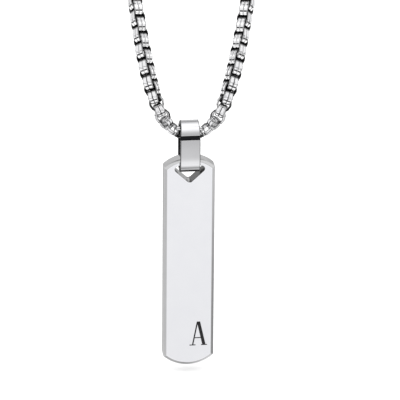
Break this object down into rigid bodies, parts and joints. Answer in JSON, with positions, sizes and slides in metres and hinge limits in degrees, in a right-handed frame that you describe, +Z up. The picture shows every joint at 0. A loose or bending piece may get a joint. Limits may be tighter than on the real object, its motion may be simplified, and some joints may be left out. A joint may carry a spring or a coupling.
{
  "type": "bar pendant necklace with an engraved initial",
  "caption": "Vertical bar pendant with an engraved letter, hung by a strip bail from a rounded box chain with a plain clasp.",
  "frame": {"origin": "middle of the clasp's back, where the necklace lies on the nape of the neck", "axes": "+Z up, the wearer faces -Y, and X runs across the shoulders with the chain symmetric about X = 0"},
  "size_m": [0.1216, 0.1478, 0.2348],
  "materials": {
    "chain_steel": "polished stainless steel links",
    "bail_steel": "polished stainless steel strip, with a blackened groove",
    "bar_steel": "polished stainless steel plate with a bright bevel",
    "dark_fill": "black satin fill, level with the face"
  },
  "bodies": {
    "chain": {"chain_left": "chain_steel", "chain_right": "chain_steel", "clasp": "chain_steel"},
    "bail": {"bail": "bail_steel"},
    "pendant": {"bar": "bar_steel", "initial": "dark_fill"}
  },
  "joints": [
    {"name": "bail_swing", "type": "hinge", "parent": "chain", "child": "bail", "pos_m": [0, -0.145, -0.1831], "axis": [0.9925, 0.1219, 0], "range_deg": [-75, 75]},
    {"name": "pendant_swing", "type": "hinge", "parent": "bail", "child": "pendant", "pos_m": [0, -0.145, -0.18895], "axis": [0.9925, 0.1219, 0], "range_deg": [-90, 90]}
  ]
}
